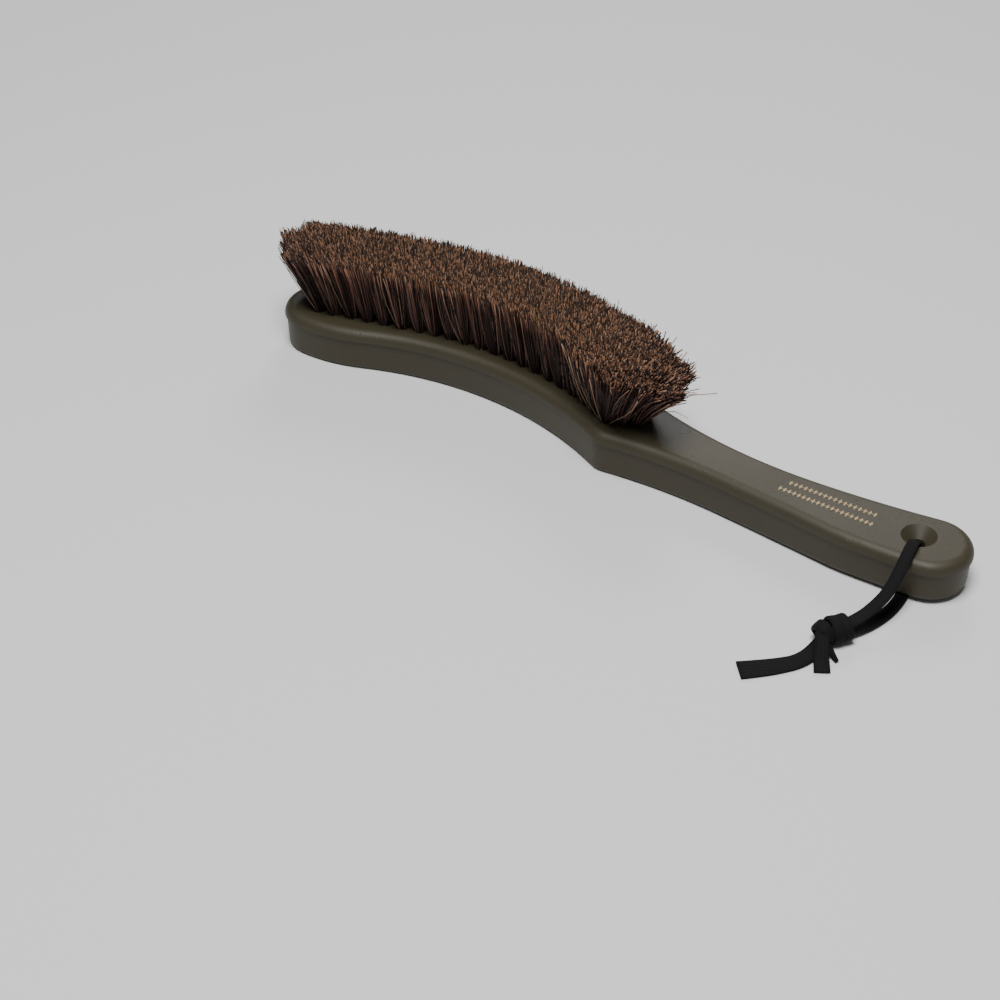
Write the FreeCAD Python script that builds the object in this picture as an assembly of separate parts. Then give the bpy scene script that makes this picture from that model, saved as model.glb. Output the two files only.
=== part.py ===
import FreeCAD, Part
import math
import os

# A curved hat brush that lies on its back with the bristles up: one wooden board that is
# head and handle in one, four rows of hair tufts held in blind holes by wire anchors, a
# stamped foil ornament, and a knotted lace through the hole in the handle's end.
#
# Frame, in millimetres: +X runs from the head's tip to the handle's end, +Z is the way the
# bristles point, and z = 0 is the surface that the board's back rests on. The origin is
# the middle of the board's footprint.

Vector = FreeCAD.Vector
UP = Vector(0, 0, 1)

SPARE = 4.0                 # how far a cutting shape runs past what it cuts

# --- driving dimensions ---------------------------------------------------------------
LENGTH = 284.2              # head's tip to handle's end
DEPTH = 54.5                # across the bent outline, over everything
THICKNESS = 17.0            # board, back to bristle face
HEAD_WIDTH = 30.0
HEAD_BEND = 140.5           # radius of the head's middle line
HEAD_BEND_X = -59.15        # where along the brush the head's bend is centred
TIP_RADIUS = 14.8
TIP_Y = 0.7                 # middle of the rounded tip
NEAR_TIP_RADIUS = 60.0      # the tip runs into the head's inner edge through this
FAR_TIP_RADIUS = 400.0      # and into its outer edge through this nearly straight one
SHOULDER_RADIUS = 9.0       # corner between the head and the handle, inner side
NEAR_WAIST = (27.0, -18.4)  # top of the handle's hollow on the inner side
NEAR_WAIST_RADIUS = 200.0
NEAR_RUN_RADIUS = 2000.0    # the nearly straight stretch behind it
NEAR_HIP_RADIUS = 70.0      # where that stretch turns into the handle's flat end part
NEAR_HIP_X = 104.0          # the hip is over here
NEAR_FLAT_RADIUS = 800.0
FAR_WAIST_CENTRE = (79.0, 184.5)
FAR_RUN_RADIUS = 400.0
END_RADIUS = 14.25

FACE_ROUND = 3.8            # rounding round the bristle face
LIP_Z = 12.8                # underside of the rounded rim
LIP = 0.6                   # how far the rim stands out from the wall below it
DRAFT = 0.5                 # how far the wall leans in on its way down
BACK_ROUND = 2.0            # rounding round the back
RISE_FROM_X = 11.0          # the handle's back leaves the surface here
RISE_RADIUS = 5000.0        # and curves up by 1.3 mm at the hanging hole

HOLE_XY = (123.3, -12.9)
HOLE_R = 2.5
COUNTERSINK_R = 6.1

ROW_OFFSETS = (-6.6, -2.2, 2.2, 6.6)  # rows of tufts, from the head's middle line
TUFTS_IN_ROW = (21, 22, 23, 22)
TUFT_PITCH = 6.84
FIELD_STRAIGHT_X = -87.15   # the rows are straight on the tip's side of this
FIELD_MIDDLE = 28.7         # middle of every row, along the head from there
HAIR_LENGTH = 28.0          # above the face, cut flat
TUFT_HOLE_R = 1.6
TUFT_HOLE_DEPTH = 8.5
TUFT_FOOT_R = 1.1
TUFT_TOP_R = 3.05
SIDE_SPREAD = 0.62          # outward lean of a row at the cut, as a share of its offset
TIP_FLARE = (5.5, 22.0)     # lean of the end tufts at the cut, and how fast it dies away
NECK_FLARE = (15.0, 14.0)
ANCHOR_R = 0.35
ANCHOR_LENGTH = 2.9
ANCHOR_GAP = 0.05           # between the anchor and the foot of the hair
SECTIONS = ("tip", "middle", "neck")

FOIL_THICKNESS = 0.08
FOIL_ROWS = (((73.1, -13.8), (107.4, -15.7), 20), ((75.1, -9.3), (106.6, -10.5), 18))
LOZENGE = (0.52, 1.35)      # half length and half width
FOIL_DOT_R = 0.2

LACE_R = 0.55               # half the thickness of the lace, which is 4 mm wide
KNOT_MIDDLE = Vector(113.7, -57.6, 4.25)
KNOT_HEADING = Vector(-0.62, -0.78, 0)
KNOT_R = 4.2
KNOT_LENGTH = 12.5
KNOT_ROUND = 3.6

BEND_SHARE = 0.45           # share of the shorter run that each bend takes up
UPPER_ROUTE = (
    (123.3, -12.9, 8.0), (123.3, -13.3, 14.2), (123.7, -18.2, 18.6), (124.4, -25.2, 18.6),
    (124.9, -32.0, 16.0), (124.2, -38.6, 11.4), (121.7, -44.9, 7.9), (118.6, -50.6, 5.8),
    (115.2, -55.6, 5.0),
)
LOWER_ROUTE = (
    (123.3, -12.9, 8.0), (123.3, -13.2, 0.62), (124.6, -20.6, 0.58), (126.0, -28.4, 0.6),
    (125.6, -35.6, 0.65), (123.7, -42.4, 0.8), (120.6, -48.6, 1.6), (116.7, -53.9, 3.0),
)
LONG_TAIL_ROUTE = (
    (112.2, -60.6, 2.4), (111.6, -66.6, 1.2), (109.3, -72.8, 0.62), (105.0, -77.6, 0.62),
    (100.0, -82.2, 0.62), (94.8, -86.4, 0.62),
)
SHORT_TAIL_ROUTE = (
    (112.9, -61.6, 6.4), (113.7, -66.4, 4.9), (115.4, -70.4, 1.6), (117.9, -74.0, 0.6),
)


# --- the board's outline: bends that run smoothly into each other -----------------------
# A bend is (centre, signed radius): positive where the edge bulges out of the board and
# negative where it curves into it.
def flat(x, y):
    return Vector(x, y, 0)


def joining_bend(a, b, radius, side):
    """The bend of this signed radius that is tangent to bends a and b."""
    reach_a = abs(radius - a[1])
    reach_b = abs(radius - b[1])
    across = b[0] - a[0]
    gap = across.Length
    along = (reach_a**2 - reach_b**2 + gap**2) / (2 * gap)
    off = side * math.sqrt(reach_a**2 - along**2)
    ahead = across / gap
    return (a[0] + ahead * along + UP.cross(ahead) * off, radius)


def board_bends():
    """The bends round the outline, anticlockwise from the head's tip."""
    pivot = flat(HEAD_BEND_X, DEPTH / 2 - HEAD_BEND - HEAD_WIDTH / 2)
    head_near = (pivot, -(HEAD_BEND - HEAD_WIDTH / 2))
    head_far = (pivot, HEAD_BEND + HEAD_WIDTH / 2)
    tip = (flat(TIP_RADIUS - LENGTH / 2, TIP_Y), TIP_RADIUS)
    near_tip = joining_bend(tip, head_near, NEAR_TIP_RADIUS, 1)
    near_waist = (
        flat(NEAR_WAIST[0], NEAR_WAIST[1] - NEAR_WAIST_RADIUS), -NEAR_WAIST_RADIUS,
    )
    shoulder = joining_bend(head_near, near_waist, SHOULDER_RADIUS, 1)
    end = (flat(LENGTH / 2 - END_RADIUS, END_RADIUS - DEPTH / 2), END_RADIUS)
    near_flat = (flat(end[0].x, NEAR_FLAT_RADIUS - DEPTH / 2), NEAR_FLAT_RADIUS)
    lean = math.asin((end[0].x - NEAR_HIP_X) / NEAR_FLAT_RADIUS)
    down = flat(-math.sin(lean), -math.cos(lean))
    near_hip = (near_flat[0] + down * (NEAR_FLAT_RADIUS - NEAR_HIP_RADIUS), NEAR_HIP_RADIUS)
    near_run = joining_bend(near_waist, near_hip, -NEAR_RUN_RADIUS, -1)
    waist_centre = flat(*FAR_WAIST_CENTRE)
    far_waist = (waist_centre, head_far[1] - (waist_centre - pivot).Length)
    far_run = joining_bend(end, far_waist, -FAR_RUN_RADIUS, -1)
    far_tip = joining_bend(head_far, tip, FAR_TIP_RADIUS, 1)
    return [
        tip, near_tip, head_near, shoulder, near_waist, near_run, near_hip, near_flat,
        end, far_run, far_waist, head_far, far_tip,
    ]


def outline(inset, z):
    """The closed outline at height z, drawn in by inset all round."""
    bends = board_bends()
    normals = []
    for a, b in zip(bends, bends[1:] + bends[:1]):
        normals.append((a[0] - b[0]) / (b[1] - a[1]))
    edges = []
    for i, (centre, full_radius) in enumerate(bends):
        radius = full_radius - inset
        first = math.atan2(normals[i - 1].y, normals[i - 1].x)
        last = math.atan2(normals[i].y, normals[i].x)
        if radius > 0:
            sweep = (last - first) % (2 * math.pi)
        else:
            sweep = -((first - last) % (2 * math.pi))
        points = []
        for angle in (first, first + sweep / 2, first + sweep):
            spoke = flat(math.cos(angle), math.sin(angle))
            points.append(centre + spoke * radius + UP * z)
        edges.append(Part.Arc(*points).toShape())
    return Part.Wire(edges)


# --- board ------------------------------------------------------------------------------
def board_under_side():
    """A tall block whose bottom is the board's back: flat, then rising along the handle."""
    far_x = LENGTH / 2 + SPARE
    span = far_x - RISE_FROM_X
    rise = RISE_RADIUS - math.sqrt(RISE_RADIUS**2 - span**2)
    half_rise = RISE_RADIUS - math.sqrt(RISE_RADIUS**2 - (span / 2) ** 2)
    start = Vector(-far_x, -DEPTH, 0)
    crease = Vector(RISE_FROM_X, -DEPTH, 0)
    half = Vector(RISE_FROM_X + span / 2, -DEPTH, half_rise)
    end = Vector(far_x, -DEPTH, rise)
    top_end = Vector(far_x, -DEPTH, 2 * THICKNESS)
    top_start = Vector(-far_x, -DEPTH, 2 * THICKNESS)
    side = Part.Wire([
        Part.makeLine(start, crease),
        Part.Arc(crease, half, end).toShape(),
        Part.makeLine(end, top_end),
        Part.makeLine(top_end, top_start),
        Part.makeLine(top_start, start),
    ])
    return Part.Face(side).extrude(Vector(0, 2 * DEPTH, 0))


def make_board():
    below = 1.0
    lean = DRAFT * (LIP_Z + below) / LIP_Z
    wall = Part.makeLoft([outline(LIP + lean, -below), outline(LIP, LIP_Z)], True, True)
    wall = wall.common(board_under_side())
    rim = []
    for edge in wall.Edges:
        low = edge.BoundBox.ZMax < LIP_Z / 2
        is_crease = edge.BoundBox.XLength < 0.01 and edge.BoundBox.YLength > HEAD_WIDTH / 2
        if low and not is_crease:
            rim.append(edge)
    wall = wall.makeFillet(BACK_ROUND, rim)
    slab = Part.Face(outline(0, LIP_Z)).extrude(UP * (THICKNESS - LIP_Z))
    top = [edge for edge in slab.Edges if edge.BoundBox.ZMin > THICKNESS - 0.01]
    slab = slab.makeFillet(FACE_ROUND, top)
    return wall.fuse(slab).removeSplitter()


def hanging_hole():
    """The drill and the countersinks of the hanging hole, as one cutting shape."""
    x, y = HOLE_XY
    depth = COUNTERSINK_R - HOLE_R
    back_z = (x - RISE_FROM_X) ** 2 / (2 * RISE_RADIUS)
    drill = Part.makeCylinder(HOLE_R, THICKNESS, Vector(x, y, 0))
    top = Part.makeCone(
        HOLE_R, COUNTERSINK_R + SPARE, depth + SPARE, Vector(x, y, THICKNESS - depth)
    )
    back = Part.makeCone(
        COUNTERSINK_R + SPARE, HOLE_R, depth + SPARE, Vector(x, y, back_z - SPARE)
    )
    return drill.fuse([top, back])


# --- tufts ------------------------------------------------------------------------------
def field_point(along, offset):
    """A place in the tuft field, as (x, y) and the way along the head there."""
    pivot = flat(HEAD_BEND_X, DEPTH / 2 - HEAD_BEND - HEAD_WIDTH / 2)
    start = math.acos((FIELD_STRAIGHT_X - HEAD_BEND_X) / HEAD_BEND)
    turn = max(along, 0) / HEAD_BEND
    out = flat(math.cos(start - turn), math.sin(start - turn))
    ahead = out.cross(UP)
    return pivot + out * (HEAD_BEND + offset) + ahead * min(along, 0), ahead


def row_places(row):
    """How far along the head each tuft of a row stands, the rows staggered by half."""
    count = TUFTS_IN_ROW[row]
    return [FIELD_MIDDLE + (i - (count - 1) / 2) * TUFT_PITCH for i in range(count)]


def tuft_axis(row, along):
    """A tuft's place on the face, and its lean as the shift at the cut."""
    place, ahead = field_point(along, ROW_OFFSETS[row])
    ends = row_places(2)
    size, fade = TIP_FLARE
    lean = -size * math.exp((ends[0] - along) / fade)
    size, fade = NECK_FLARE
    lean += size * math.exp((along - ends[-1]) / fade)
    out = UP.cross(ahead)
    shift = ahead * lean + out * (ROW_OFFSETS[row] * SIDE_SPREAD)
    return place + UP * THICKNESS, shift


def make_tuft(place, shift):
    """Cutting cylinder of the tuft's hole, the tuft, and the anchor below it."""
    axis = shift + UP * HAIR_LENGTH
    axis.normalize()
    bottom = place - axis * TUFT_HOLE_DEPTH
    drill = Part.makeCylinder(TUFT_HOLE_R, TUFT_HOLE_DEPTH + SPARE, bottom, axis)
    foot = bottom + axis * (2 * ANCHOR_R + ANCHOR_GAP)
    full = TUFT_HOLE_DEPTH + HAIR_LENGTH / axis.z
    grow = (TUFT_TOP_R - TUFT_FOOT_R) / full
    tall = full + SPARE
    hair = Part.makeCone(TUFT_FOOT_R, TUFT_FOOT_R + grow * tall, tall, foot, axis)
    corner = place + Vector(-HAIR_LENGTH, -HAIR_LENGTH, HAIR_LENGTH)
    hair = hair.cut(Part.makeBox(2 * HAIR_LENGTH, 2 * HAIR_LENGTH, HAIR_LENGTH, corner))
    across = axis.cross(flat(0, 1))
    across.normalize()
    anchor_start = bottom + axis * ANCHOR_R - across * (ANCHOR_LENGTH / 2)
    anchor = Part.makeCylinder(ANCHOR_R, ANCHOR_LENGTH, anchor_start, across)
    return drill, hair, anchor


# --- foil -------------------------------------------------------------------------------
def make_foil():
    """Two lines of lozenges with a dot between each pair, laid on the face."""
    marks = []
    for start, end, count in FOIL_ROWS:
        start = flat(*start)
        step = (flat(*end) - start) / (2 * count - 2)
        heading = step / step.Length
        side = UP.cross(heading)
        for i in range(2 * count - 1):
            middle = start + step * i + UP * THICKNESS
            if i % 2:
                mark = Part.makeCylinder(FOIL_DOT_R, FOIL_THICKNESS, middle)
            else:
                tips = [
                    middle + heading * LOZENGE[0], middle + side * LOZENGE[1],
                    middle - heading * LOZENGE[0], middle - side * LOZENGE[1],
                ]
                face = Part.Face(Part.makePolygon(tips + tips[:1]))
                mark = face.extrude(UP * FOIL_THICKNESS)
            marks.append(mark)
    return Part.makeCompound(marks)


# --- lace -------------------------------------------------------------------------------
def lace_tube(name, route):
    """A round tube along straight runs joined by arcs as large as the runs allow."""
    points = [Vector(*p) for p in route]
    edges = []
    radii = []
    last = points[0]
    for before, corner, after in zip(points, points[1:], points[2:]):
        back = before - corner
        ahead = after - corner
        shorter = min(back.Length, ahead.Length)
        back = back / back.Length
        ahead = ahead / ahead.Length
        turn = math.pi - back.getAngle(ahead)
        setback = BEND_SHARE * shorter
        radius = setback / math.tan(turn / 2)
        inward = back + ahead
        inward.normalize()
        middle = corner + inward * (radius / math.cos(turn / 2) - radius)
        arc_start = corner + back * setback
        arc_end = corner + ahead * setback
        edges.append(Part.LineSegment(last, arc_start).toShape())
        edges.append(Part.Arc(arc_start, middle, arc_end).toShape())
        radii.append(round(radius, 1))
        last = arc_end
    edges.append(Part.LineSegment(last, points[-1]).toShape())
    path = Part.Wire(edges)
    section = Part.Wire(Part.makeCircle(LACE_R, points[0], points[1] - points[0]))
    tube = path.makePipeShell([section], True, True)
    ideal = math.pi * LACE_R**2 * path.Length
    print(name, "length", round(path.Length, 1), "radii", radii,
          "volume / section x length", round(tube.Volume / ideal, 4))
    return tube


def make_knot():
    heading = Vector(KNOT_HEADING)
    heading.normalize()
    start = KNOT_MIDDLE - heading * (KNOT_LENGTH / 2)
    drum = Part.makeCylinder(KNOT_R, KNOT_LENGTH, start, heading)
    return drum.makeFillet(KNOT_ROUND, drum.Edges)


# --- assembly ---------------------------------------------------------------------------
def write(name, shape):
    if not shape.isValid():
        print(name, "is not valid")
    print(name, "solids", len(shape.Solids), "volume", round(shape.Volume, 1))
    shape.exportStep(f"parts/{name}.step")


def main():
    os.makedirs("parts", exist_ok=True)
    drills = []
    for row in range(len(ROW_OFFSETS)):
        places = row_places(row)
        tufts = {section: [] for section in SECTIONS}
        anchors = []
        for i, along in enumerate(places):
            drill, hair, anchor = make_tuft(*tuft_axis(row, along))
            drills.append(drill)
            tufts[SECTIONS[i * len(SECTIONS) // len(places)]].append(hair)
            anchors.append(anchor)
        for section in SECTIONS:
            write(f"tufts_row_{row + 1}_{section}", Part.makeCompound(tufts[section]))
        write(f"anchor_wires_row_{row + 1}", Part.makeCompound(anchors))
    board = make_board()
    write("board", board.cut(drills + [hanging_hole()]))
    write("foil_ornament", make_foil())
    knot = make_knot()
    write("lace_knot", knot)
    for name, route in (
        ("lace_upper_strand", UPPER_ROUTE),
        ("lace_lower_strand", LOWER_ROUTE),
        ("lace_long_tail", LONG_TAIL_ROUTE),
        ("lace_short_tail", SHORT_TAIL_ROUTE),
    ):
        write(name, lace_tube(name, route).cut(knot))


main()
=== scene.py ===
import math
import random

import bmesh
import bpy
from mathutils import Color, Matrix, Vector


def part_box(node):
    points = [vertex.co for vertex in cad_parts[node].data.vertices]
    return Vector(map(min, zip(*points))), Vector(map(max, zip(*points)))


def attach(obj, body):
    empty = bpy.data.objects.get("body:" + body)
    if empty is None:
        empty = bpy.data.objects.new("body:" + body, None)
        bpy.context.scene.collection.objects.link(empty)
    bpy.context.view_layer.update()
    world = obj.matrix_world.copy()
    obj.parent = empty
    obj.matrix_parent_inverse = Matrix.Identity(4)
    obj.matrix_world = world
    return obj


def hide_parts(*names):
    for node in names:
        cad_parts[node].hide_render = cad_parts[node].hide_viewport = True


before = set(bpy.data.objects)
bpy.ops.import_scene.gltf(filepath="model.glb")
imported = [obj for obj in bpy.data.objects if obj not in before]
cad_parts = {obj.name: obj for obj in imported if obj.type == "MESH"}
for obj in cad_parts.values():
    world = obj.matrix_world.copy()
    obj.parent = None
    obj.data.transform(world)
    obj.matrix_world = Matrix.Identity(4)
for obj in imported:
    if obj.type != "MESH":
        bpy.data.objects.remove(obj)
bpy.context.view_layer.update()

bl_info = {
    "name": "Curved hat brush",
    "version": (1, 0, 0),
    "blender": (4, 5, 0),
    "location": "View3D > Sidebar > Hat brush",
    "description": "Dresses the curved hat brush: hair, paint, foil, lace and knot",
    "category": "Add Mesh",
}

MM = 0.001
FACE_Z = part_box("board")[1].z
CUT_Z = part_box("tufts_row_1_middle")[1].z

# The hair. Rows are numbered from the near side of the brush.
ROWS = (1, 2, 3, 4)
SECTIONS = ("tip", "middle", "neck")
TUFT_PITCH = 6.84 * MM      # from one tuft to the next along a row
SUNK = 2.5 * MM             # how far the hair is modelled down into its hole
END_FAN = {1: 3.4 * MM, 2: 3.2 * MM, 3: 1.4 * MM, 4: 0.6 * MM}  # extra lean at the tip
END_DROP = 1.5 * MM         # how much lower the hair is cut there
END_FADE = 1.8              # tufts over which both of these die away
NECK_TUFTS = 3              # tufts in each row that open wide at the neck
NECK_SPREAD = 1.35          # how much wider they open
FILL_STRETCH = 1.3          # past this stretch a place gets a second tuft
LEAN_CURVE = 1.25           # how late a leaning tuft bends over: 1 is a straight lean
LEAN_DROP = 0.4             # how far a lean brings the cut end down
CALM_TUFTS = 7              # different tufts that are made, and then used again and again
WILD_TUFTS = 4
HAIR_SEED = 7

# One hair in its tuft
GOLDEN_ANGLE = 2.39996      # turns each hair away from the last, which fills a round evenly
ANGLE_JITTER = 0.3
STIR = 0.5                  # millimetres that a hair's cut end moves from its place
BOW = 0.32                  # millimetres that its middle bows out
STRAY_CHANCE = 0.012        # share of hairs that stray in a calm tuft
WILD_CHANCE = 0.05          # and how much more in a wild one
LENGTH_JITTER = 0.013       # as a share of the length, as are the next
SHORT_BY = 0.085            # the most that a short hair lacks
SHORT_BIAS = 2.5            # how rare the short ones are
CALM_TONE = 0.967           # the highest tone of a hair that doesn't stray
PALE_TONE = 0.955           # a hair is pale above this tone
PALE_STRAYS = 0.4           # share of straying hairs that are made pale

# The rims of the holes
RIM_RADIUS = 1.68 * MM
RIM_TUBE = 0.16 * MM
RIM_JITTER = (-0.04, 0.05)
RIM_SEED = 11

# The lace. Routes and the knot's wraps are in millimetres.
UPPER_ROUTE = (
    (123.3, -12.9, 8.0), (123.3, -13.3, 14.2), (123.7, -18.2, 18.6), (124.4, -25.2, 18.6),
    (124.9, -32.0, 16.0), (124.2, -38.6, 11.4), (121.7, -44.9, 7.9), (118.6, -50.6, 5.8),
    (115.2, -55.6, 5.0),
)
LOWER_ROUTE = (
    (123.3, -12.9, 8.0), (123.3, -13.2, 0.62), (124.2, -20.8, 0.58), (124.8, -28.8, 0.6),
    (124.1, -35.9, 0.65), (122.2, -42.7, 0.8), (119.5, -48.9, 1.6), (116.4, -54.1, 3.0),
)
LONG_TAIL_ROUTE = (
    (112.2, -60.6, 2.4), (111.6, -66.6, 1.2), (109.3, -72.8, 0.62), (105.0, -77.6, 0.62),
    (100.0, -82.2, 0.62), (94.8, -86.4, 0.62),
)
SHORT_TAIL_ROUTE = (
    (111.2, -57.4, 6.6), (111.5, -60.4, 8.0), (112.9, -63.9, 6.7), (114.9, -68.4, 3.0),
    (116.4, -70.8, 1.3), (117.9, -73.6, 0.75),
)
CORNER_ROUTE = (
    (113.6, -61.8, 3.0), (115.9, -64.2, 2.8), (118.2, -65.6, 1.5), (119.8, -66.4, 0.7),
)
LACE_RUNS = (               # its width at the start and the end, in lace widths, and its far end
    ("upper_strand", UPPER_ROUTE, 0.95, 1.25, "knot"),
    ("lower_strand", LOWER_ROUTE, 0.95, 1.45, "knot"),
    ("long_tail", LONG_TAIL_ROUTE, 1.3, None, "bare"),   # it opens out to the tail width
    ("short_tail", SHORT_TAIL_ROUTE, 1.05, 1.35, None),
    ("folded_corner", CORNER_ROUTE, 0.7, 0.35, None),
)
TAIL_DIAMETER = 1.25        # a width for the long tail, in lace widths
LINE_STEPS = 10             # steps between two points of a route
SECTION_SIDES = 16
FULL_EDGE = 0.6             # below 1 the lace's edges are fuller than an oval's
FLAT_FACE = 0.75            # below 1 its faces are flatter than an oval's

KNOT_MIDDLE = Vector((113.7, -57.6, 4.5)) * MM
KNOT_HEADING = Vector((-0.62, -0.78, 0.0)).normalized()
KNOT_THICKNESS = 1.5 * MM   # lace that is bunched up in the knot
WRAP_STEPS = 40
KNOT_WRAPS = (
    # width, radius, turn in degrees, place along the knot, tilt about X, Y and Z in degrees,
    # and stretch across and up
    (4.2, 3.45, 360, -3.8, (7, 0, 0), (1.22, 1.02)),
    (4.2, 3.6, 360, -0.6, (-5, 4, 0), (1.2, 1.02)),
    (4.4, 3.3, 234, 2.9, (26, -14, -50), (1.2, 1.05)),
    (4.4, 2.3, 360, 2.4, (-14, 12, 0), (1.5, 1.0)),
)

# The board
SHARP_ANGLE = math.radians(28)  # an edge that turns more than this stays crisp

# The stage
CAMERA_PLACE = Vector((288.05, -544.65, 453.1)) * MM
CAMERA_LENS = 75.6          # millimetres, as is the sensor
CAMERA_SENSOR = 36.0
FLOOR_RADIUS = 6.0
LIGHTS = (                  # name, place, what it points at, size, share of the key power
    ("key_light", (0.12, -0.36, 1.22), (0, 0, 0), 0.55, 1.0),
    ("back_light", (-0.43, 1.06, 0.89), (0.03, 0, 0), 0.6, 0.3),
)
SKY_STRENGTH = 0.17


# --- settings ---------------------------------------------------------------------------
class HairSettings(bpy.types.PropertyGroup):
    count: bpy.props.IntProperty(
        name="Hairs in a tuft", description="Hairs in one tuft", default=430, min=20)
    thickness: bpy.props.FloatProperty(
        name="Thickness", description="Thickness of one hair", default=0.29 * MM,
        unit="LENGTH", precision=5)
    foot_radius: bpy.props.FloatProperty(
        name="Foot radius", description="Radius of a tuft where it leaves the wood",
        default=1.5 * MM, unit="LENGTH", precision=5)
    cut_radius: bpy.props.FloatProperty(
        name="Cut radius", description="Radius that a tuft fans out to at the cut",
        default=4.3 * MM, unit="LENGTH", precision=5)
    # painted shade: the root colour darkens the hair low down in the tufts, where the tufts shade
    # each other
    root_shade_colour: bpy.props.FloatVectorProperty(
        name="Root colour", description="Colour low down in the tufts", subtype="COLOR",
        default=(0.033, 0.0190, 0.0165))
    body_colour: bpy.props.FloatVectorProperty(
        name="Body colour", description="Colour of most of the hair", subtype="COLOR",
        default=(0.078, 0.0395, 0.0290))
    tip_colour: bpy.props.FloatVectorProperty(
        name="Tip colour", description="Colour of the cut ends", subtype="COLOR",
        default=(0.071, 0.0365, 0.0205))
    pale_colour: bpy.props.FloatVectorProperty(
        name="Pale hair colour", description="Colour of the few pale hairs",
        subtype="COLOR", default=(0.24, 0.165, 0.115))


class PaintSettings(bpy.types.PropertyGroup):
    colour: bpy.props.FloatVectorProperty(
        name="Colour", description="Olive drab paint", subtype="COLOR",
        default=(0.038, 0.0318, 0.0178))
    roughness: bpy.props.FloatProperty(
        name="Roughness", description="How matte the paint is", default=0.5,
        subtype="FACTOR", min=0, max=1)
    # the colour of the pale flecks that lie in patches on the hole rims
    pale_fleck_colour: bpy.props.FloatVectorProperty(
        name="Bare wood", description="Wood that shows round the tuft holes",
        subtype="COLOR", default=(0.30, 0.26, 0.20))
    foil_colour: bpy.props.FloatVectorProperty(
        name="Foil", description="Colour of the stamped ornament", subtype="COLOR",
        default=(0.30, 0.215, 0.10))


class LaceSettings(bpy.types.PropertyGroup):
    width: bpy.props.FloatProperty(
        name="Width", description="Width of the flat lace", default=4.0 * MM,
        unit="LENGTH", precision=5)
    thickness: bpy.props.FloatProperty(
        name="Thickness", description="Thickness of the flat lace", default=1.1 * MM,
        unit="LENGTH", precision=5)
    tail_width: bpy.props.FloatProperty(
        name="Tail width", description="Width that the loose tail opens out to",
        default=8.2 * MM, unit="LENGTH", precision=5)
    colour: bpy.props.FloatVectorProperty(
        name="Colour", description="Black lace", subtype="COLOR",
        default=(0.0035, 0.0035, 0.0038))


class StageSettings(bpy.types.PropertyGroup):
    key_power: bpy.props.FloatProperty(
        name="Key light", description="Power of the overhead light", default=22.0,
        unit="POWER")
    floor_colour: bpy.props.FloatVectorProperty(
        name="Floor", description="Colour of the floor", subtype="COLOR",
        default=(0.66, 0.66, 0.66))
    azimuth: bpy.props.FloatProperty(
        name="Azimuth", description="Where the camera stands round the brush",
        default=math.radians(31.609), subtype="ANGLE")
    elevation: bpy.props.FloatProperty(
        name="Elevation", description="How far down the camera looks",
        default=math.radians(38), subtype="ANGLE")


# --- shader helpers ---------------------------------------------------------------------
class Wire:
    """A number that comes out of a node. Arithmetic on it adds Math nodes."""

    def __init__(self, finish, socket):
        self.finish = finish
        self.socket = socket

    def maths(self, operation, first, second=0.0):
        return self.finish.node("ShaderNodeMath", {"operation": operation}, {0: first, 1: second})

    def __add__(self, other):
        return self.maths("ADD", self, other)

    def __sub__(self, other):
        return self.maths("SUBTRACT", self, other)

    def __rsub__(self, other):
        return self.maths("SUBTRACT", other, self)

    def __mul__(self, other):
        return self.maths("MULTIPLY", self, other)

    def __truediv__(self, other):
        return self.maths("DIVIDE", self, other)

    def __rtruediv__(self, other):
        return self.maths("DIVIDE", other, self)

    def __pow__(self, other):
        return self.maths("POWER", self, other)

    def __rpow__(self, other):
        return self.maths("POWER", other, self)

    def __gt__(self, other):
        return self.maths("GREATER_THAN", self, other)

    __radd__ = __add__
    __rmul__ = __mul__


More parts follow.
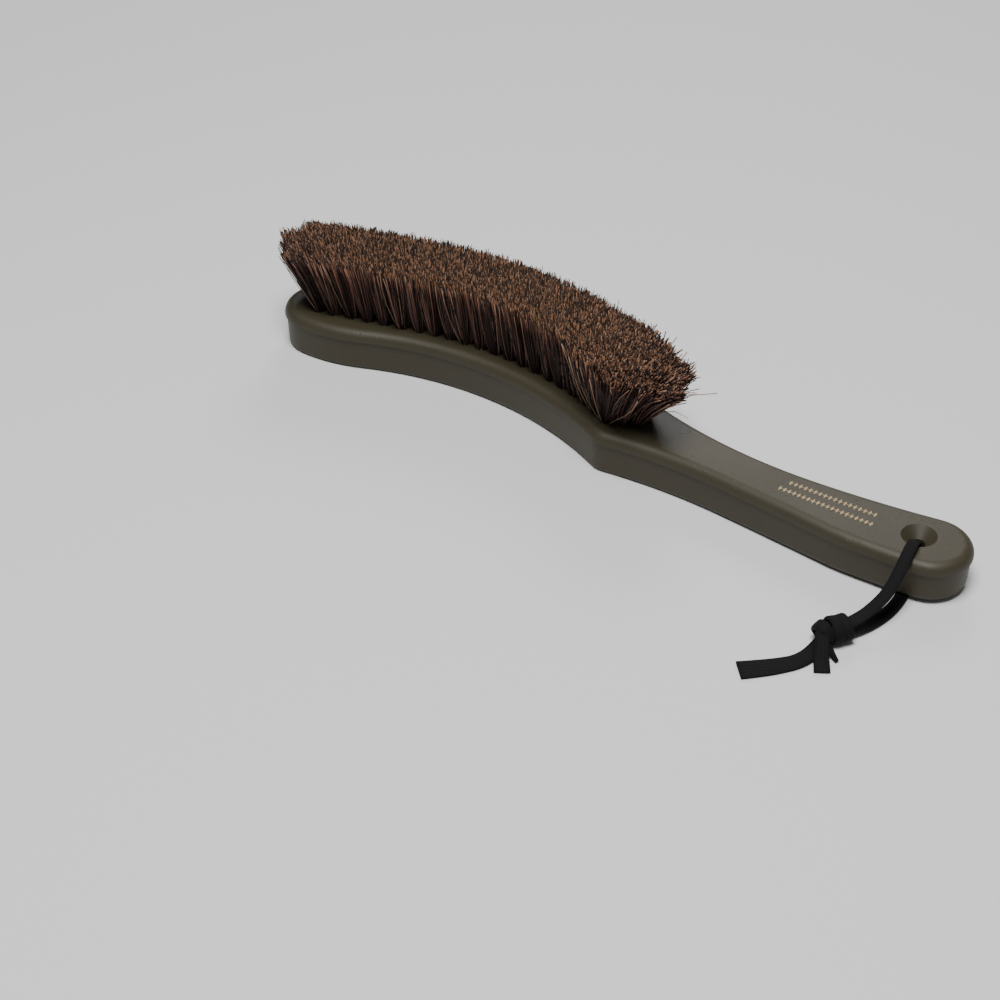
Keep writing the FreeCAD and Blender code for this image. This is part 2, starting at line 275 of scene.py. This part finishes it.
class Finish:
    """A material being put together round its Principled shader."""

    def __init__(self, name, roughness, specular=0.5, metallic=0.0):
        self.material = bpy.data.materials.new(name)
        self.material.use_nodes = True
        self.tree = self.material.node_tree
        self.shader = self.tree.nodes["Principled BSDF"]
        self.shader.inputs["Roughness"].default_value = roughness
        self.shader.inputs["Specular IOR Level"].default_value = specular
        self.shader.inputs["Metallic"].default_value = metallic
        self.place = self.node("ShaderNodeTexCoord", {}, {}, "Object")

    def node(self, kind, settings, inputs, output=0):
        """A new node of this kind. Its settings go in first, then values and links."""
        node = self.tree.nodes.new(kind)
        for name, value in settings.items():
            if name == "stops":
                ramp = node.color_ramp
                while len(ramp.elements) < len(value):
                    ramp.elements.new(1.0)
                for stop, (position, level) in zip(ramp.elements, value):
                    stop.position = position
                    stop.color = (level, level, level, 1.0)
            else:
                setattr(node, name, value)
        for key, value in inputs.items():
            if isinstance(value, Wire):
                self.tree.links.new(value.socket, node.inputs[key])
            elif isinstance(value, (tuple, list, Color)):
                room = len(node.inputs[key].default_value)
                node.inputs[key].default_value = (*value, 1.0)[:room]
            else:
                node.inputs[key].default_value = value
        return Wire(self, node.outputs[output])

    def noise(self, scale, detail=2.0, place=None):
        """A cloudy pattern, with this many blotches to the metre."""
        return self.node("ShaderNodeTexNoise", {},
                         {"Vector": place or self.place, "Scale": scale, "Detail": detail})

    def ramp(self, factor, *stops):
        """A grey level from 0 to 1 through these stops of position and level."""
        return self.node("ShaderNodeValToRGB", {"stops": stops}, {0: factor})

    def stretch(self, scale):
        """The place on the object, scaled along each axis."""
        return self.node("ShaderNodeMapping", {}, {"Vector": self.place, "Scale": scale})

    def height(self):
        """How high the surface is, in metres."""
        return self.node("ShaderNodeSeparateXYZ", {}, {0: self.place}, "Z")

    def attribute(self, name):
        """A number that the mesh carries at each of its points."""
        return self.node("ShaderNodeAttribute", {"attribute_name": name}, {}, "Fac")

    def mix(self, factor, first, second, blend="MIX"):
        """Two colours mixed."""
        settings = {"data_type": "RGBA", "blend_type": blend}
        return self.node("ShaderNodeMix", settings, {0: factor, 6: first, 7: second}, 2)

    def feed(self, name, value):
        """Gives the shader a pattern, or a plain colour."""
        if isinstance(value, Wire):
            self.tree.links.new(value.socket, self.shader.inputs[name])
        else:
            self.shader.inputs[name].default_value = (*value, 1.0)

    def bump(self, height, distance, strength=1.0):
        """Small relief, as deep as this distance where the height goes from 0 to 1."""
        bump = self.node("ShaderNodeBump", {},
                         {"Height": height, "Distance": distance, "Strength": strength})
        self.tree.links.new(bump.socket, self.shader.inputs["Normal"])

    def wear(self, obj):
        """Puts the finish on every slot of an object."""
        if not obj.data.materials:
            obj.data.materials.append(self.material)
        for slot in obj.material_slots:
            slot.material = self.material


# --- mesh helpers -----------------------------------------------------------------------
def piece_from(bm, name):
    """Turns a bmesh into a piece of the brush."""
    mesh = bpy.data.meshes.new(name)
    bm.to_mesh(mesh)
    bm.free()
    piece = bpy.data.objects.new(name, mesh)
    bpy.context.scene.collection.objects.link(piece)
    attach(piece, "root")
    return piece


def merged_copy(node):
    """A bmesh of a CAD node with its loose triangles joined up."""
    bm = bmesh.new()
    bm.from_mesh(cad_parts[node].data)
    bmesh.ops.remove_doubles(bm, verts=bm.verts, dist=0.001 * MM)
    return bm


def add_copy(bm, mesh):
    """Adds a mesh to a bmesh, and returns the vertices that are new."""
    before = len(bm.verts)
    bm.from_mesh(mesh)
    bm.verts.ensure_lookup_table()
    return bm.verts[before:]


def pour(bm, whole):
    """Moves everything in one bmesh into another."""
    part = bpy.data.meshes.new("part")
    bm.to_mesh(part)
    bm.free()
    add_copy(whole, part)
    bpy.data.meshes.remove(part)


def turn_out(bm):
    """Turns every face outwards, and sorts the faces.

    An extrude adds its faces in an order that changes from run to run.
    """
    bmesh.ops.recalc_face_normals(bm, faces=bm.faces)
    bm.verts.index_update()
    count = len(bm.verts)

    def order(face):
        corners = [v.index for v in face.verts]
        return min(corners) * count + max(corners)

    bm.faces.sort(key=order)
    bm.faces.index_update()


def along_route(route):
    """The points of the smooth line that a lace follows."""
    curve = bpy.data.curves.new("lace_line", "CURVE")
    curve.dimensions = "3D"
    curve.resolution_u = LINE_STEPS
    spline = curve.splines.new("NURBS")
    spline.points.add(len(route) - 1)
    for point, place in zip(spline.points, route):
        point.co = (*(Vector(place) * MM), 1.0)
    spline.order_u = 3
    spline.use_endpoint_u = True
    line = bpy.data.objects.new("lace_line", curve)
    bpy.context.scene.collection.objects.link(line)
    mesh = bpy.data.meshes.new_from_object(line)
    points = [v.co.copy() for v in mesh.vertices]
    bpy.data.objects.remove(line)
    bpy.data.curves.remove(curve)
    bpy.data.meshes.remove(mesh)
    return points


def run_length(points):
    """The length of a line through these points."""
    return sum((b - a).length for a, b in zip(points, points[1:]))


def strip_ring(bm, width=1.0, thickness=1.0):
    """The rounded flat section of the lace, across X and through Y."""
    ring = bmesh.ops.create_circle(bm, cap_ends=False, segments=SECTION_SIDES, radius=1)["verts"]
    across = bm.verts.layers.float["across"]
    for v in ring:
        v[across] = v.co.x
        side = math.copysign(abs(v.co.x) ** FULL_EDGE, v.co.x)
        through = math.copysign(abs(v.co.y) ** FLAT_FACE, v.co.y)
        v.co = (side * width / 2, through * thickness / 2, 0)
    return ring


def lace_strip(points, widths, thickness):
    """A flat lace swept along these points, its width kept level and growing evenly."""
    bm = bmesh.new()
    bm.verts.layers.float.new("across")
    bm.verts.layers.float.new("along")
    ring = strip_ring(bm)
    edges = list(bm.edges)
    along = bm.verts.layers.float["along"]
    last = Matrix()         # where the ring stands now
    gone = 0.0              # how far along the lace it is
    for i, point in enumerate(points):
        ahead = (points[min(i + 1, len(points) - 1)] - points[max(i - 1, 0)]).normalized()
        level = Vector((ahead.y, -ahead.x, 0)).normalized()
        up = ahead.cross(level)
        place = Matrix.Translation(point) @ Matrix((level, up, ahead)).transposed().to_4x4()
        width = widths[0] + (widths[1] - widths[0]) * i / (len(points) - 1)
        place = place @ Matrix.Diagonal((width, thickness, MM, 1))
        if i:
            gone += (point - points[i - 1]).length
            new = bmesh.ops.extrude_edge_only(bm, edges=edges)["geom"]
            ring = [g for g in new if isinstance(g, bmesh.types.BMVert)]
            edges = [g for g in new if isinstance(g, bmesh.types.BMEdge)
                     and all(v in ring for v in g.verts)]
        bmesh.ops.transform(bm, matrix=place @ last.inverted(), verts=ring)
        for v in ring:
            v[along] = gone
        last = place
    bmesh.ops.holes_fill(bm, edges=bm.edges, sides=0)
    turn_out(bm)
    for face in bm.faces:
        face.smooth = len(face.verts) == 4
    return bm


# --- finishes ---------------------------------------------------------------------------
def hair_finish(hair):
    """Dark at the root with painted shade, red-brown along the hair and at the cut, with a few pale
    hairs.
    """
    finish = Finish("coarse_horsehair", 0.55, specular=0.16)
    level = (finish.height() - FACE_Z) / (CUT_Z - FACE_Z)
    tone = finish.attribute("tone")
    wander = (finish.noise(260.0, 1.0) - 0.5) * 0.35
    # painted shade: the body share grows with height, so the hair is darkened towards the board's
    # face with the root colour
    body = finish.ramp(level + wander, (0.08, 0.0), (0.72, 1.0))
    tip = finish.ramp(level + (tone - 0.5) * 0.12, (0.88, 0.0), (0.99, 1.0))
    colour = finish.mix(body, hair.root_shade_colour, hair.body_colour)
    colour = finish.mix(tip, colour, hair.tip_colour)
    light = tone ** 3.6 * 4.6 + 0.05    # most hairs are dark, and a few catch the light
    # Warmth runs up and down many times over the tones, so it doesn't go with the light.
    warmth = finish.node("ShaderNodeMath", {"operation": "FRACT"}, {0: tone * 13.0})
    tint = finish.node("ShaderNodeCombineColor", {}, {
        0: light * (warmth * 0.20 + 0.92), 1: light * (1.05 - warmth * 0.12),
        2: light * (1.12 - warmth * 0.30)})
    colour = finish.mix(1.0, colour, tint, "MULTIPLY")
    pale = (tone > PALE_TONE) * 0.75
    finish.feed("Base Color", finish.mix(pale, colour, hair.pale_colour))
    return finish


def paint_finish(paint):
    """Matte paint with a fine orange peel, slightly uneven in tone and in sheen."""
    finish = Finish("olive_drab_paint", paint.roughness, specular=0.36)
    cloud = finish.noise(22.0, 3.0)
    grain = finish.noise(60.0, 4.0, finish.stretch((0.25, 3.0, 3.0)))
    peel = finish.noise(1300.0, 2.0)
    dents = finish.ramp(finish.noise(520.0, 1.0), (0.66, 0.0), (0.74, 1.0))
    dark = [c * 0.86 for c in paint.colour]
    light = [c * 1.12 for c in paint.colour]
    colour = finish.mix(cloud * 0.6 + grain * 0.4, dark, light)
    finish.feed("Base Color", finish.mix(dents * 0.35, colour, light))
    finish.feed("Roughness", cloud * 0.16 + (paint.roughness - 0.08))
    finish.bump(peel * 0.5 + grain * 0.35 + dents * 0.7, 0.10 * MM, 0.7)
    return finish


def lace_finish(lace):
    """Soft black lace with faint ribs along it and a fine weave."""
    finish = Finish("black_flat_lace", 0.75, specular=0.14)
    across = finish.attribute("across")
    along = finish.attribute("along")
    rib = finish.node("ShaderNodeMath", {"operation": "SINE"}, {0: across * 26.0})
    weave = finish.node("ShaderNodeMath", {"operation": "SINE"}, {0: along * 9000.0 + across * 9.0})
    fuzz = finish.noise(2600.0, 2.0)
    pattern = rib * 0.7 + weave * 0.25 + fuzz * 0.6
    dark = [c * 0.7 for c in lace.colour]
    light = [c * 1.9 for c in lace.colour]
    finish.feed("Base Color", finish.mix(pattern * 0.5 + 0.4, dark, light))
    finish.bump(pattern, 0.09 * MM, 0.7)
    return finish


def foil_finish(paint):
    """Dull gold foil, worn thin in specks."""
    finish = Finish("dull_gold_foil", 0.42, metallic=0.45)
    speck = finish.noise(2400.0, 3.0)
    worn = finish.ramp(speck, (0.40, 0.0), (0.55, 1.0))
    dark = [c * 0.55 for c in paint.foil_colour]
    finish.feed("Base Color", finish.mix(worn, dark, paint.foil_colour))
    finish.feed("Roughness", speck * 0.3 + 0.25)
    return finish


def wire_finish():
    """Bright drawn wire."""
    finish = Finish("drawn_wire", 0.35, metallic=1.0)
    drawn = finish.noise(3000.0, 2.0)
    finish.feed("Base Color", finish.mix(drawn, (0.42, 0.41, 0.39), (0.62, 0.6, 0.57)))
    return finish


def rim_finish(paint):
    """Paint over most of a hole's lip, with pale flecks in patches."""
    finish = Finish("flecked_hole_rim", 0.55)
    # pale flecks in patches all round each rim, from noise
    pale_flecks = finish.ramp(finish.noise(900.0, 2.0), (0.46, 0.0), (0.58, 1.0))
    finish.feed("Base Color", finish.mix(pale_flecks, paint.colour, paint.pale_fleck_colour))
    finish.bump(finish.noise(3000.0, 2.0), 0.08 * MM)
    return finish


def floor_finish(stage):
    """The plain matte floor."""
    finish = Finish("pale_floor", 0.9, specular=0.1)
    finish.feed("Base Color", stage.floor_colour)
    return finish


# --- the stage --------------------------------------------------------------------------
def add_light(name, place, target, size, power):
    """A round soft light at a place, turned to a target."""
    data = bpy.data.lights.new(name, "AREA")
    data.shape = "DISK"
    data.size = size
    data.energy = power
    light = bpy.data.objects.new(name, data)
    light.location = place
    light.rotation_euler = (Vector(target) - Vector(place)).to_track_quat("-Z", "Y").to_euler()
    bpy.context.scene.collection.objects.link(light)


class BRUSH_OT_stage(bpy.types.Operator):
    """Add the camera, the pale floor and the soft light"""
    bl_idname = "brush.stage"
    bl_label = "Add stage"

    def execute(self, context):
        stage = context.scene.brush_stage
        camera_data = bpy.data.cameras.new("camera")
        camera_data.lens = CAMERA_LENS
        camera_data.sensor_width = CAMERA_SENSOR
        camera = bpy.data.objects.new("camera", camera_data)
        camera.location = CAMERA_PLACE
        flat = math.cos(stage.elevation)
        looks = Vector((-math.sin(stage.azimuth) * flat, math.cos(stage.azimuth) * flat,
                        -math.sin(stage.elevation)))
        camera.rotation_euler = looks.to_track_quat("-Z", "Y").to_euler()
        context.scene.collection.objects.link(camera)
        context.scene.camera = camera

        bm = bmesh.new()
        bmesh.ops.create_circle(bm, cap_ends=True, segments=64, radius=FLOOR_RADIUS)
        mesh = bpy.data.meshes.new("floor")
        bm.to_mesh(mesh)
        bm.free()
        floor = bpy.data.objects.new("floor", mesh)
        context.scene.collection.objects.link(floor)
        floor_finish(stage).wear(floor)

        for name, place, target, size, share in LIGHTS:
            add_light(name, place, target, size, stage.key_power * share)
        world = bpy.data.worlds.new("studio")
        world.use_nodes = True
        sky = world.node_tree.nodes["Background"]
        sky.inputs["Color"].default_value = (1.0, 1.0, 1.0, 1.0)
        sky.inputs["Strength"].default_value = SKY_STRENGTH
        context.scene.world = world
        return {"FINISHED"}


# --- lace -------------------------------------------------------------------------------
class BRUSH_OT_lace(bpy.types.Operator):
    """Add the flat lace: two strands through the hanging hole and two tails"""
    bl_idname = "brush.lace"
    bl_label = "Add lace"

    def execute(self, context):
        lace = context.scene.brush_lace
        finish = lace_finish(lace)
        width = lace.width
        knot = make_knot()
        finish.wear(knot)
        pieces = {}
        for name, route, start, end, far_end in LACE_RUNS:
            points = along_route(route)
            widths = (width * start, width * end if end else lace.tail_width)
            bm = lace_strip(points, widths, lace.thickness)
            piece = piece_from(bm, "flat_lace_" + name)
            finish.wear(piece)
            if "lace_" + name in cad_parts:
                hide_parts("lace_" + name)
            pieces[name] = (piece, points, far_end)
        on_the_knot = [knot, pieces["short_tail"][0], pieces["folded_corner"][0]]
        for name, (piece, points, far_end) in pieces.items():
            if not far_end:
                continue
            run_length(points)
            width * (TAIL_DIAMETER if name == "long_tail" else 1)
            on_the_knot if name == "upper_strand" else []
        return {"FINISHED"}


def wrap(width, radius, turn):
    """A turn of flat lace round the knot's own axis, which is Z here."""
    bm = bmesh.new()
    bm.verts.layers.float.new("across")
    bm.verts.layers.float.new("along")
    ring = strip_ring(bm, width, KNOT_THICKNESS)
    upright = Matrix.Rotation(math.pi / 2, 4, "Z") @ Matrix.Rotation(math.pi / 2, 4, "Y")
    bmesh.ops.transform(bm, matrix=Matrix.Translation((radius, 0, 0)) @ upright, verts=ring)
    full = turn == 360
    bmesh.ops.spin(bm, geom=bm.verts[:] + bm.edges[:], axis=(0, 0, 1), cent=(0, 0, 0),
                   angle=math.radians(turn), steps=WRAP_STEPS, use_merge=full,
                   use_duplicate=False)
    if not full:
        bmesh.ops.holes_fill(bm, edges=bm.edges, sides=0)
    along = bm.verts.layers.float["along"]
    for v in bm.verts:
        v[along] = math.atan2(v.co.y, v.co.x) * radius
    return bm


def make_knot():
    """An overhand knot pulled snug: wraps side by side, a bight over them and a core."""
    up = Vector((0, 0, 1))
    side = KNOT_HEADING.cross(up)
    stand = Matrix((side, up, KNOT_HEADING)).transposed().to_4x4()
    stand = Matrix.Translation(KNOT_MIDDLE) @ stand
    whole = bmesh.new()
    whole.verts.layers.float.new("across")
    whole.verts.layers.float.new("along")
    for width, radius, turn, shift, tilt, stretch in KNOT_WRAPS:
        bm = wrap(width * MM, radius * MM, turn)
        lean = Matrix.Rotation(math.radians(tilt[0]), 4, "X")
        lean = lean @ Matrix.Rotation(math.radians(tilt[1]), 4, "Y")
        lean = lean @ Matrix.Rotation(math.radians(tilt[2]), 4, "Z")
        place = Matrix.Translation((0, 0, shift * MM)) @ lean
        place = place @ Matrix.Diagonal((*stretch, 1, 1))
        bmesh.ops.transform(bm, matrix=stand @ place, verts=bm.verts)
        pour(bm, whole)
    turn_out(whole)
    for face in whole.faces:
        face.smooth = True
    knot = piece_from(whole, "overhand_knot")
    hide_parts("lace_knot")
    return knot


# --- hair -------------------------------------------------------------------------------
def one_hair(thickness):
    """A straight hair one unit tall: three sides, four lengths, and a flat cut end."""
    bm = bmesh.new()
    bmesh.ops.create_cone(bm, cap_ends=False, segments=3, radius1=thickness * 0.55,
                          radius2=thickness * 0.45, depth=1.0)
    bmesh.ops.translate(bm, vec=(0, 0, 0.5), verts=bm.verts)
    tall = [e for e in bm.edges if abs(e.verts[0].co.z - e.verts[1].co.z) > 0.5]
    bmesh.ops.subdivide_edges(bm, edges=tall, cuts=3, use_grid_fill=True)
    top = [e for e in bm.edges if all(v.co.z > 0.99 for v in e.verts)]
    bmesh.ops.contextual_create(bm, geom=top)
    for face in bm.faces:
        face.smooth = len(face.verts) == 4
    mesh = bpy.data.meshes.new("one_hair")
    bm.to_mesh(mesh)
    bm.free()
    return mesh


def loose_tuft(hair, rng, single, wildness):
    """A tuft one unit tall that fans out from its foot, each hair a little bowed.

    Wildness is 0 for a neat tuft, and 1 for one with more and longer strays.
    """
    bm = bmesh.new()
    tone_layer = bm.verts.layers.float.new("tone")
    widen = hair.cut_radius - hair.foot_radius
    for i in range(hair.count):
        new = add_copy(bm, single)
        reach = math.sqrt((i + 0.5) / hair.count)
        angle = i * GOLDEN_ANGLE + rng.uniform(-ANGLE_JITTER, ANGLE_JITTER)
        way_out = Vector((math.cos(angle), math.sin(angle), 0)) * reach
        stir = Vector((rng.gauss(0, STIR), rng.gauss(0, STIR), 0)) * MM
        strays = rng.random() < STRAY_CHANCE + wildness * WILD_CHANCE
        bow = Vector((rng.gauss(0, 1), rng.gauss(0, 1), 0)) * BOW * MM
        if strays:          # it bends 3 times as far as its neighbours, or 5 in a wild tuft
            bow *= 3 + 2 * wildness
            stir *= 3 + 2 * wildness
        tall = 1 + rng.gauss(0, LENGTH_JITTER) - rng.random() ** SHORT_BIAS * SHORT_BY
        tone = rng.random() * (1.0 if strays else CALM_TONE)
        if strays and rng.random() < PALE_STRAYS:
            tone = 0.98     # above the pale tone
        spin = rng.uniform(0, math.tau)
        turn_x, turn_y = math.cos(spin), math.sin(spin)
        for v in new:
            t = v.co.z
            x = v.co.x * turn_x - v.co.y * turn_y
            y = v.co.x * turn_y + v.co.y * turn_x
            radius = hair.foot_radius + widen * math.sqrt(t)
            middle = way_out * radius + stir * t + bow * math.sin(math.pi * t)
            v.co = (x + middle.x, y + middle.y, t * tall)
            v[tone_layer] = tone
    mesh = bpy.data.meshes.new("loose_tuft")
    bm.to_mesh(mesh)
    bm.free()
    return mesh


def tuft_stands(node):
    """Where each tuft of a CAD node leaves the face, and its middle at the cut."""
    bm = merged_copy(node)
    seen = set()
    stands = []
    for start in bm.verts:
        if start in seen:
            continue
        seen.add(start)
        group = [start]
        for v in group:
            for edge in v.link_edges:
                other = edge.other_vert(v)
                if other not in seen:
                    seen.add(other)
                    group.append(other)
        high = [v.co for v in group if v.co.z > CUT_Z - 0.01 * MM]
        low = [v.co for v in group if v.co.z < FACE_Z]
        top = sum(high, Vector()) / len(high)
        foot = sum(low, Vector()) / len(low)
        share = (FACE_Z - foot.z) / (top.z - foot.z)
        stands.append((foot.lerp(top, share), top))
    bm.free()
    return sorted(stands, key=lambda stand: stand[0].x)


def grow_tuft(bm, tuft, base, top, ahead, stretch, spread, rng):
    """Stands a loose tuft on the board, leaning, and stretched or spread towards its top."""
    spin = rng.uniform(0, math.tau)
    turn_x, turn_y = math.cos(spin), math.sin(spin)
    lean = top - base
    drop = LEAN_DROP * (lean.x ** 2 + lean.y ** 2) / lean.z
    for v in add_copy(bm, tuft):
        x, y, t = v.co
        z = t * (lean.z + SUNK) - SUNK
        way = z / lean.z
        bend = way ** LEAN_CURVE if way > 0 else way
        x, y = x * turn_x - y * turn_y, x * turn_y + y * turn_x
        opened = 1 + (spread - 1) * max(way, 0)
        extra = (x * ahead.x + y * ahead.y) * (stretch - 1) * max(way, 0)
        v.co = (base.x + lean.x * bend + x * opened + ahead.x * extra,
                base.y + lean.y * bend + y * opened + ahead.y * extra,
                base.z + z - drop * way * way)


class BRUSH_OT_hair(bpy.types.Operator):
    """Fill every tuft of the brush with its own hairs"""
    bl_idname = "brush.hair"
    bl_label = "Add hair"

    def execute(self, context):
        hair = context.scene.brush_hair
        rng = random.Random(HAIR_SEED)
        finish = hair_finish(hair)
        single = one_hair(hair.thickness)
        calm = [loose_tuft(hair, rng, single, 0) for _ in range(CALM_TUFTS)]
        wild = [loose_tuft(hair, rng, single, 1) for _ in range(WILD_TUFTS)]
        for row in ROWS:
            stands = []
            for section in SECTIONS:
                for base, top in tuft_stands(f"tufts_row_{row}_{section}"):
                    stands.append((section, base, top))
            made = {section: bmesh.new() for section in SECTIONS}
            for i, (section, base, top) in enumerate(stands):
                before = stands[max(i - 1, 0)][2]
                after = stands[min(i + 1, len(stands) - 1)][2]
                reach = max((top - before).length, (after - top).length)
                ahead = (after - before).normalized()
                stretch = max(1.0, reach / TUFT_PITCH)
                at_tip = math.exp(-i / END_FADE)
                top = top - ahead * END_FAN[row] * at_tip - Vector((0, 0, END_DROP * at_tip))
                at_neck = i >= len(stands) - NECK_TUFTS
                loose = at_neck or (row == 1 and i % 4 == 1)
                for _ in range(2 if stretch > FILL_STRETCH else 1):
                    tuft = rng.choice(wild if loose else calm)
                    grow_tuft(made[section], tuft, base, top, ahead, stretch,
                              NECK_SPREAD if at_neck else 1, rng)
            for section, bm in made.items():
                piece = piece_from(bm, f"hair_row_{row}_{section}")
                finish.wear(piece)
                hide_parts(f"tufts_row_{row}_{section}")
        return {"FINISHED"}


# --- board, foil and wires --------------------------------------------------------------
class BRUSH_OT_board(bpy.types.Operator):
    """Add the painted board with smooth rounded edges"""
    bl_idname = "brush.board"
    bl_label = "Add painted board"

    def execute(self, context):
        bm = merged_copy("board")
        for edge in bm.edges:
            shared = len(edge.link_faces) == 2
            edge.smooth = shared and edge.calc_face_angle(0) < SHARP_ANGLE
        for face in bm.faces:
            face.smooth = True
        board = piece_from(bm, "painted_board")
        shading = board.modifiers.new("shading", "WEIGHTED_NORMAL")
        shading.keep_sharp = True
        paint_finish(context.scene.brush_paint).wear(board)
        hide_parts("board")
        return {"FINISHED"}


def one_rim(base, rng):
    """A thin uneven ring that stands where a hole leaves the face."""
    bm = bmesh.new()
    ring = bmesh.ops.create_circle(bm, segments=6, radius=RIM_TUBE)["verts"]
    bmesh.ops.rotate(bm, verts=ring, matrix=Matrix.Rotation(math.pi / 2, 3, "X"))
    bmesh.ops.translate(bm, verts=ring, vec=(RIM_RADIUS, 0, 0))
    bmesh.ops.spin(bm, geom=bm.verts[:] + bm.edges[:], axis=(0, 0, 1), cent=(0, 0, 0),
                   angle=math.tau, steps=14, use_merge=True)
    for v in bm.verts:
        v.co *= 1 + rng.uniform(*RIM_JITTER)
    bmesh.ops.translate(bm, verts=bm.verts, vec=base)
    return bm


class BRUSH_OT_hole_rims(bpy.types.Operator):
    """Add the flecked rim round each tuft hole"""
    bl_idname = "brush.hole_rims"
    bl_label = "Add hole rims"

    def execute(self, context):
        rng = random.Random(RIM_SEED)
        whole = bmesh.new()
        for row in ROWS:
            for section in SECTIONS:
                for base, _ in tuft_stands(f"tufts_row_{row}_{section}"):
                    pour(one_rim(base, rng), whole)
        turn_out(whole)
        rims = piece_from(whole, "hole_rims")
        rim_finish(context.scene.brush_paint).wear(rims)
        return {"FINISHED"}


class BRUSH_OT_metal(bpy.types.Operator):
    """Finish the stamped foil and the wires that anchor the tufts"""
    bl_idname = "brush.metal"
    bl_label = "Finish foil and wires"

    def execute(self, context):
        foil_finish(context.scene.brush_paint).wear(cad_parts["foil_ornament"])
        wires = wire_finish()
        for row in ROWS:
            wires.wear(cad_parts[f"anchor_wires_row_{row}"])
        return {"FINISHED"}


# --- add-on -----------------------------------------------------------------------------
class BRUSH_PT_panel(bpy.types.Panel):
    """Lists the parts of the brush"""
    bl_label = "Hat brush"
    bl_idname = "BRUSH_PT_panel"
    bl_space_type = "VIEW_3D"
    bl_region_type = "UI"
    bl_category = "Hat brush"

    def draw(self, context):
        for step in STEPS:
            self.layout.operator(step.bl_idname)
        for group, name in GROUPS:
            box = self.layout.box()
            box.label(text=name)
            settings = getattr(context.scene, "brush_" + name)
            for prop in group.__annotations__:
                box.prop(settings, prop)


GROUPS = (
    (HairSettings, "hair"),
    (PaintSettings, "paint"),
    (LaceSettings, "lace"),
    (StageSettings, "stage"),
)
STEPS = (
    BRUSH_OT_stage,
    BRUSH_OT_lace,
    BRUSH_OT_hair,
    BRUSH_OT_board,
    BRUSH_OT_hole_rims,
    BRUSH_OT_metal,
)


def register():
    for group, name in GROUPS:
        bpy.utils.register_class(group)
        setattr(bpy.types.Scene, "brush_" + name, bpy.props.PointerProperty(type=group))
    for step in STEPS:
        bpy.utils.register_class(step)
    bpy.utils.register_class(BRUSH_PT_panel)


def unregister():
    bpy.utils.unregister_class(BRUSH_PT_panel)
    for step in reversed(STEPS):
        bpy.utils.unregister_class(step)
    for group, name in reversed(GROUPS):
        delattr(bpy.types.Scene, "brush_" + name)
        bpy.utils.unregister_class(group)


def main():
    register()
    bpy.ops.brush.stage()
    bpy.ops.brush.lace()
    bpy.ops.brush.hair()
    bpy.ops.brush.board()
    bpy.ops.brush.hole_rims()
    bpy.ops.brush.metal()
    bpy.context.view_layer.update()


if __name__ == "__main__":
    main()
